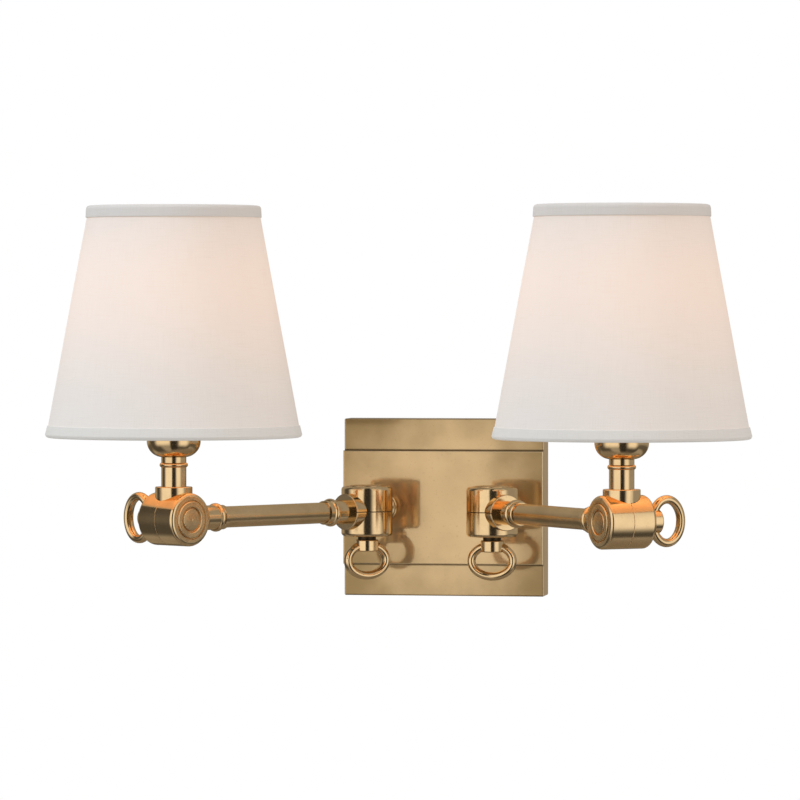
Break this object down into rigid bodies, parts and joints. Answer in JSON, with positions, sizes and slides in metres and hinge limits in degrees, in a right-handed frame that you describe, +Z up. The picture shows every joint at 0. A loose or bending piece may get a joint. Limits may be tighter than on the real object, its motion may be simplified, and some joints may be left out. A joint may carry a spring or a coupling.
{
  "type": "double arm wall sconce",
  "caption": "Wall light with a rectangular brass plate, swinging arms on clamped barrels and tapered linen shades on tilting knuckles.",
  "frame": {"origin": "on the wall plane, at the middle of the wall plate and of the two box screw holes in the mounting bracket", "axes": "+Z up, +Y into the wall, so -Y points into the room, and +X to the right for someone who faces the wall"},
  "size_m": [0.5472, 0.3798, 0.315],
  "materials": {
    "plate_brass": "satin, softly brushed",
    "arm_brass": "aged, polished on the turned edges",
    "steel": "zinc plated",
    "earth_green": "green plated",
    "friction_fibre": "pressed fibre",
    "socket_black": "moulded phenolic",
    "shade_wire": "white painted wire",
    "bulb_metal": "rolled screw shell",
    "bulb_glass": "frosted",
    "shade_linen": "fine plain weave on a stiff backing",
    "hem_linen": "folded hem tape of the same cloth"
  },
  "bodies": {
    "wall_frame": {"back_pan": "plate_brass", "centre_panel": "plate_brass", "mounting_bracket": "steel", "earth_screw": "earth_green", "pan_grub_screws": "steel", "stems": "arm_brass", "stem_nipples": "steel", "stem_washers": "steel", "stem_lock_nuts": "steel", "left_wall_barrel": "arm_brass", "right_wall_barrel": "arm_brass", "wall_barrel_discs": "friction_fibre"},
    "left_arm": {"left_arm_barrel": "arm_brass", "left_arm_barrel_cap": "arm_brass", "left_inner_ferrule": "arm_brass", "left_arm_tube": "arm_brass", "left_outer_ferrule": "arm_brass", "left_knuckle_rear": "arm_brass", "left_knuckle_disc": "friction_fibre"},
    "left_lamp": {"left_knuckle_front": "arm_brass", "left_knuckle_cap": "arm_brass", "left_lamp_neck": "arm_brass", "left_socket_cup": "arm_brass", "left_socket": "socket_black", "left_bulb_base": "bulb_metal", "left_bulb_glass": "bulb_glass", "left_shade_fitter": "shade_wire", "left_shade_nut": "socket_black", "left_shade": "shade_linen", "left_shade_top_wire": "shade_wire", "left_shade_top_hem": "hem_linen", "left_shade_bottom_hem": "hem_linen"},
    "left_wall_clamp": {"left_wall_key": "arm_brass", "left_wall_key_screw": "steel"},
    "left_knuckle_clamp": {"left_knuckle_key": "arm_brass", "left_knuckle_key_screw": "steel"},
    "right_arm": {"right_arm_barrel": "arm_brass", "right_arm_barrel_cap": "arm_brass", "right_inner_ferrule": "arm_brass", "right_arm_tube": "arm_brass", "right_outer_ferrule": "arm_brass", "right_knuckle_rear": "arm_brass", "right_knuckle_disc": "friction_fibre"},
    "right_lamp": {"right_knuckle_front": "arm_brass", "right_knuckle_cap": "arm_brass", "right_lamp_neck": "arm_brass", "right_socket_cup": "arm_brass", "right_socket": "socket_black", "right_bulb_base": "bulb_metal", "right_bulb_glass": "bulb_glass", "right_shade_fitter": "shade_wire", "right_shade_nut": "socket_black", "right_shade": "shade_linen", "right_shade_top_wire": "shade_wire", "right_shade_top_hem": "hem_linen", "right_shade_bottom_hem": "hem_linen"},
    "right_wall_clamp": {"right_wall_key": "arm_brass", "right_wall_key_screw": "steel"},
    "right_knuckle_clamp": {"right_knuckle_key": "arm_brass", "right_knuckle_key_screw": "steel"}
  },
  "joints": [
    {"name": "left_arm_swing", "type": "hinge", "parent": "wall_frame", "child": "left_arm", "pos_m": [-0.0508, -0.108, 0], "axis": [0, 0, 1], "range_deg": [-53, 20]},
    {"name": "left_lamp_tilt", "type": "hinge", "parent": "left_arm", "child": "left_lamp", "pos_m": [-0.17421, -0.28038, 0], "axis": [0.8131, -0.5821, 0], "range_deg": [0, 90]},
    {"name": "left_wall_key_turn", "type": "hinge", "parent": "wall_frame", "child": "left_wall_clamp", "pos_m": [-0.0508, -0.108, 0], "axis": [0, 0, -1], "range_deg": [0, 270]},
    {"name": "left_knuckle_key_turn", "type": "hinge", "parent": "left_arm", "child": "left_knuckle_clamp", "pos_m": [-0.17421, -0.28038, 0], "axis": [-0.8131, 0.5821, 0], "range_deg": [0, 270]},
    {"name": "right_arm_swing", "type": "hinge", "parent": "wall_frame", "child": "right_arm", "pos_m": [0.0508, -0.108, 0], "axis": [0, 0, 1], "range_deg": [-20, 53]},
    {"name": "right_lamp_tilt", "type": "hinge", "parent": "right_arm", "child": "right_lamp", "pos_m": [0.17421, -0.28038, 0], "axis": [0.8131, 0.5821, 0], "range_deg": [0, 90]},
    {"name": "right_wall_key_turn", "type": "hinge", "parent": "wall_frame", "child": "right_wall_clamp", "pos_m": [0.0508, -0.108, 0], "axis": [0, 0, -1], "range_deg": [0, 270]},
    {"name": "right_knuckle_key_turn", "type": "hinge", "parent": "right_arm", "child": "right_knuckle_clamp", "pos_m": [0.17421, -0.28038, 0], "axis": [0.8131, 0.5821, 0], "range_deg": [0, 270]}
  ]
}
